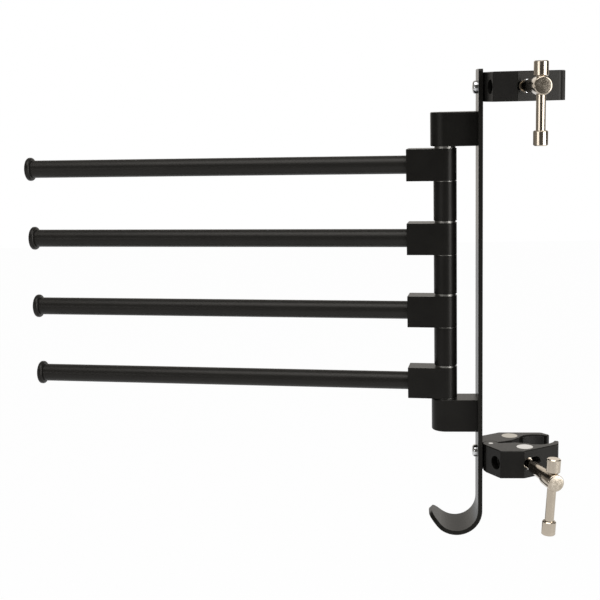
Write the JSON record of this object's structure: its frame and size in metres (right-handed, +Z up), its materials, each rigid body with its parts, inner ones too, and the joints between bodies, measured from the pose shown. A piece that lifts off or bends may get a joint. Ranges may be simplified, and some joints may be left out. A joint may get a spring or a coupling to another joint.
{
  "type": "towel rack",
  "caption": "Black clamp-on towel rack: swinging tube arms on a strap with a hook at its foot and screw clamps with sliding T-bars that grip an upright pole.",
  "frame": {"origin": "on the axis of the gripped pole, at the middle height of the lower clamp", "axes": "+Z up along the pole, +X from the arms towards the pole, +Y to the back"},
  "size_m": [0.3828, 0.1224, 0.3276],
  "materials": {
    "black_strap": "satin",
    "black_tube": "satin",
    "black_block": "satin",
    "black_jaw": "satin",
    "black_plastic": "semi-gloss",
    "nylon": "matte",
    "washer_steel": "dark satin",
    "dark_steel": "black oxide",
    "pale_steel": "bright turned",
    "nickel": "bright nickel",
    "rubber": "matte"
  },
  "bodies": {
    "rack_frame": {"spine_strap": "black_strap", "lower_bracket": "black_block", "upper_bracket": "black_block", "pivot_bolt": "dark_steel", "lower_bracket_screw_1": "dark_steel", "lower_bracket_screw_2": "dark_steel", "lower_fixed_jaw": "black_jaw", "lower_fixed_pad": "rubber", "lower_mount_screw": "pale_steel", "upper_bracket_screw_1": "dark_steel", "upper_bracket_screw_2": "dark_steel", "upper_fixed_jaw": "black_jaw", "upper_fixed_pad": "rubber", "upper_mount_screw": "pale_steel", "arm_1_lower_washer": "washer_steel", "arm_1_upper_washer": "washer_steel", "spacer_1": "black_block", "arm_2_lower_washer": "washer_steel", "arm_2_upper_washer": "washer_steel", "spacer_2": "black_block", "arm_3_lower_washer": "washer_steel", "arm_3_upper_washer": "washer_steel", "spacer_3": "black_block", "arm_4_lower_washer": "washer_steel", "arm_4_upper_washer": "washer_steel"},
    "arm_1": {"arm_1_knuckle": "black_block", "arm_1_bush": "nylon", "arm_1_tube": "black_tube", "arm_1_end_cap": "black_plastic"},
    "arm_2": {"arm_2_knuckle": "black_block", "arm_2_bush": "nylon", "arm_2_tube": "black_tube", "arm_2_end_cap": "black_plastic"},
    "arm_3": {"arm_3_knuckle": "black_block", "arm_3_bush": "nylon", "arm_3_tube": "black_tube", "arm_3_end_cap": "black_plastic"},
    "arm_4": {"arm_4_knuckle": "black_block", "arm_4_bush": "nylon", "arm_4_tube": "black_tube", "arm_4_end_cap": "black_plastic"},
    "lower_moving_jaw": {"lower_moving_jaw": "black_jaw", "lower_moving_pad": "rubber", "lower_hinge_pin": "pale_steel"},
    "lower_nut": {"lower_nut_barrel": "pale_steel"},
    "lower_swivel": {"lower_plain_barrel": "pale_steel"},
    "lower_screw": {"lower_clamp_screw": "nickel"},
    "lower_t_bar": {"lower_t_bar": "nickel", "lower_t_bar_top_cap": "nickel", "lower_t_bar_end_cap": "nickel"},
    "upper_moving_jaw": {"upper_moving_jaw": "black_jaw", "upper_moving_pad": "rubber", "upper_hinge_pin": "pale_steel"},
    "upper_nut": {"upper_nut_barrel": "pale_steel"},
    "upper_swivel": {"upper_plain_barrel": "pale_steel"},
    "upper_screw": {"upper_clamp_screw": "nickel"},
    "upper_t_bar": {"upper_t_bar": "nickel", "upper_t_bar_top_cap": "nickel", "upper_t_bar_end_cap": "nickel"}
  },
  "joints": [
    {"name": "arm_1_swing", "type": "hinge", "parent": "rack_frame", "child": "arm_1", "pos_m": [-0.06331, 0.00456, 0.1], "axis": [0, 0, 1], "range_deg": [-114, 126]},
    {"name": "arm_2_swing", "type": "hinge", "parent": "rack_frame", "child": "arm_2", "pos_m": [-0.06331, 0.00456, 0.1], "axis": [0, 0, 1], "range_deg": [-114, 126]},
    {"name": "arm_3_swing", "type": "hinge", "parent": "rack_frame", "child": "arm_3", "pos_m": [-0.06331, 0.00456, 0.1], "axis": [0, 0, 1], "range_deg": [-114, 126]},
    {"name": "arm_4_swing", "type": "hinge", "parent": "rack_frame", "child": "arm_4", "pos_m": [-0.06331, 0.00456, 0.1], "axis": [0, 0, 1], "range_deg": [-114, 126]},
    {"name": "lower_jaw_hinge", "type": "hinge", "parent": "rack_frame", "child": "lower_moving_jaw", "pos_m": [-0.03251, -0.00994, 0], "axis": [0, 0, 1], "range_deg": [-25, 11]},
    {"name": "lower_nut_swivel", "type": "hinge", "parent": "rack_frame", "child": "lower_nut", "pos_m": [-0.01807, 0.00923, 0], "axis": [0, 0, 1], "range_deg": [-12.5, 5.5]},
    {"name": "lower_barrel_swivel", "type": "hinge", "parent": "lower_moving_jaw", "child": "lower_swivel", "pos_m": [-0.00982, -0.01775, 0], "axis": [0, 0, 1], "range_deg": [-5.5, 12.5]},
    {"name": "lower_screw_turn", "type": "hinge", "parent": "lower_swivel", "child": "lower_screw", "pos_m": [-0.00982, -0.01775, 0], "axis": [0.2924, -0.9563, 0], "range_deg": [-1260, 2880]},
    {"name": "lower_t_bar_slide", "type": "slide", "parent": "lower_screw", "child": "lower_t_bar", "axis": [0.0667, 0.0204, 0.9976], "range_m": [0, 0.0215]},
    {"name": "upper_jaw_hinge", "type": "hinge", "parent": "rack_frame", "child": "upper_moving_jaw", "pos_m": [-0.03251, -0.00994, 0.2555], "axis": [0, 0, 1], "range_deg": [-7, 29]},
    {"name": "upper_nut_swivel", "type": "hinge", "parent": "rack_frame", "child": "upper_nut", "pos_m": [-0.01807, 0.00923, 0.2555], "axis": [0, 0, 1], "range_deg": [-3.5, 14.5]},
    {"name": "upper_barrel_swivel", "type": "hinge", "parent": "upper_moving_jaw", "child": "upper_swivel", "pos_m": [-0.01335, -0.02438, 0.2555], "axis": [0, 0, 1], "range_deg": [-14.5, 3.5]},
    {"name": "upper_screw_turn", "type": "hinge", "parent": "upper_swivel", "child": "upper_screw", "pos_m": [-0.01335, -0.02438, 0.2555], "axis": [0.1392, -0.9903, 0], "range_deg": [-3330, 810]},
    {"name": "upper_t_bar_slide", "type": "slide", "parent": "upper_screw", "child": "upper_t_bar", "axis": [0, 0, 1], "range_m": [0, 0.0215]}
  ],
  "couplings": [
    {"joint": "lower_jaw_hinge", "follows": "lower_screw_turn", "ratio": -0.008634},
    {"joint": "lower_nut_swivel", "follows": "lower_screw_turn", "ratio": -0.004317},
    {"joint": "lower_barrel_swivel", "follows": "lower_screw_turn", "ratio": 0.004317},
    {"joint": "upper_jaw_hinge", "follows": "upper_screw_turn", "ratio": -0.008634},
    {"joint": "upper_nut_swivel", "follows": "upper_screw_turn", "ratio": -0.004317},
    {"joint": "upper_barrel_swivel", "follows": "upper_screw_turn", "ratio": 0.004317}
  ]
}
